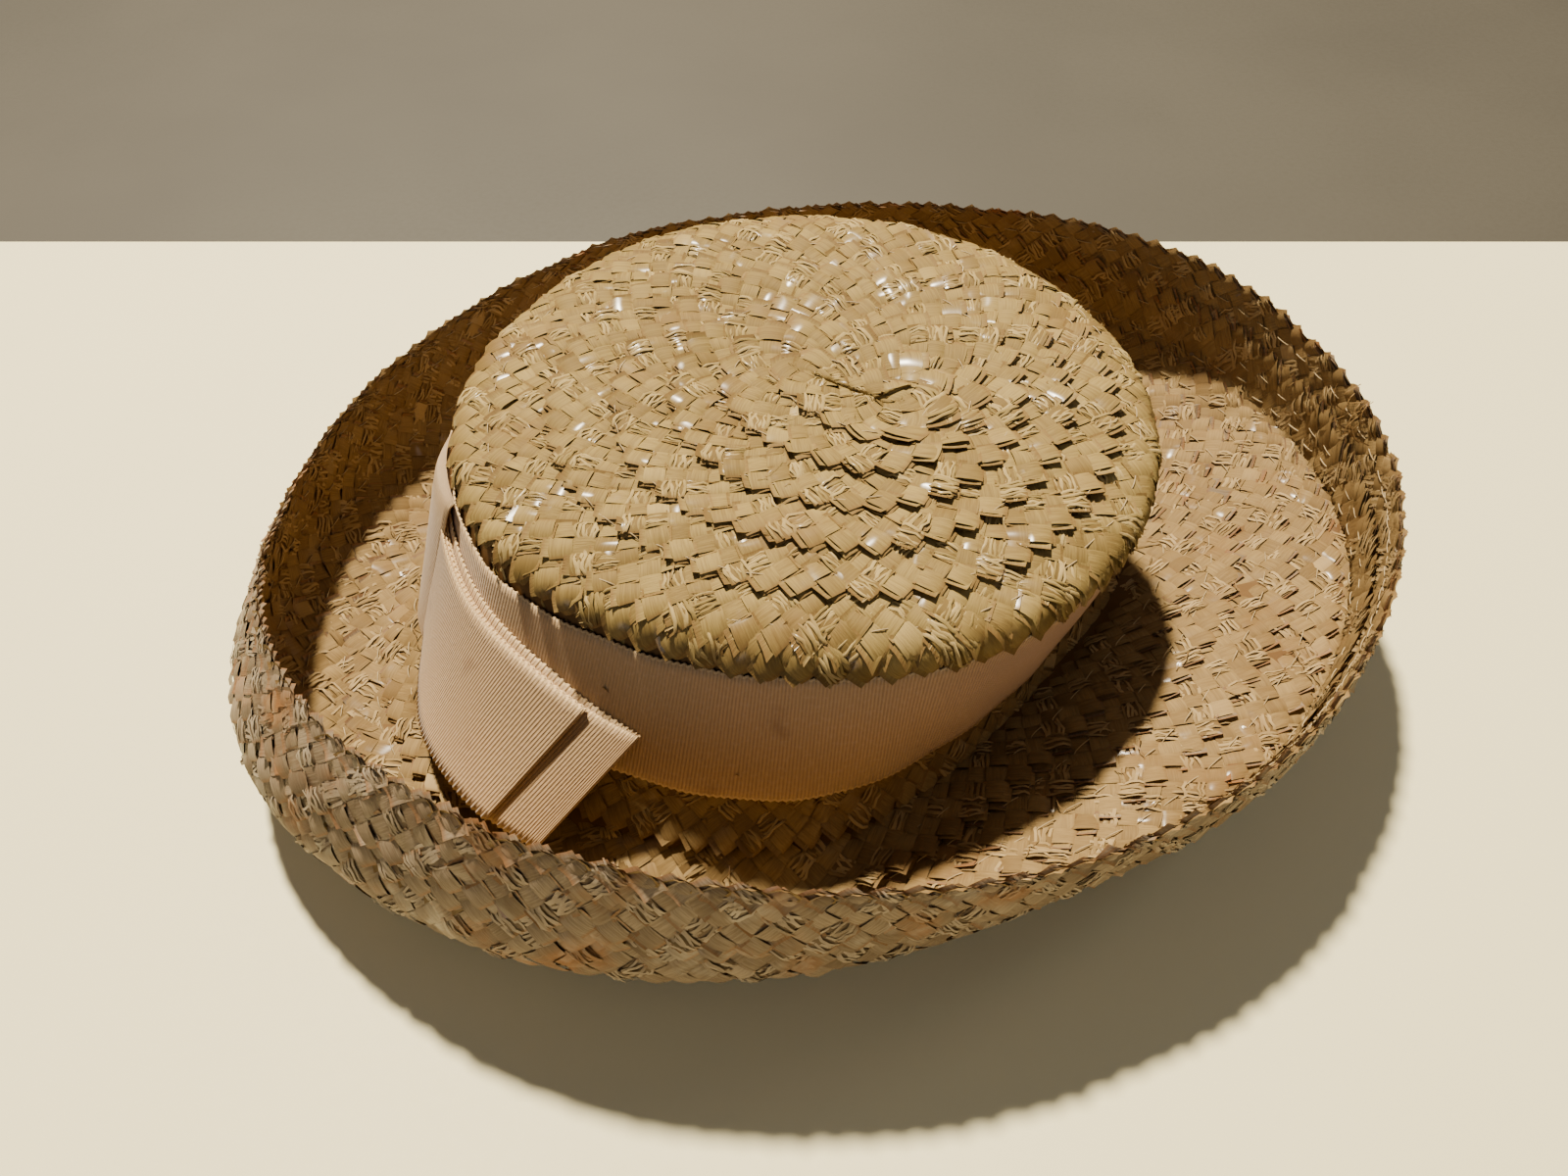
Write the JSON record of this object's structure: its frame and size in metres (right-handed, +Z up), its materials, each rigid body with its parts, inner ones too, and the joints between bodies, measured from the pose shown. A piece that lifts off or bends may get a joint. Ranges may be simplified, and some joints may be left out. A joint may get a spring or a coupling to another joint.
{
  "type": "straw hat with an upturned brim",
  "caption": "Straw hat of spirally sewn plait with a flat crown, a brim turned up all round, and a grosgrain ribbon band with a flat side bow.",
  "frame": {"origin": "middle of the hat's outline, on the flat underside of the brim that the hat rests on", "axes": "+Z up, out of the crown; -Y towards the side the picture was taken from; the bow is on the -X, -Y side"},
  "size_m": [0.3138, 0.2696, 0.0787],
  "materials": {
    "straw": "golden khaki split straw, plaited, with a satin shine on each flat strand",
    "ribbon": "faded peach grosgrain with fine ribs across the ribbon and a picot along each edge"
  },
  "bodies": {
    "root": {"straw_crown": "straw", "straw_brim": "straw", "rim_braid": "straw", "ribbon_band": "ribbon", "bow_knot": "ribbon", "bow_lower_loop": "ribbon", "bow_upper_loop": "ribbon"}
  },
  "joints": []
}
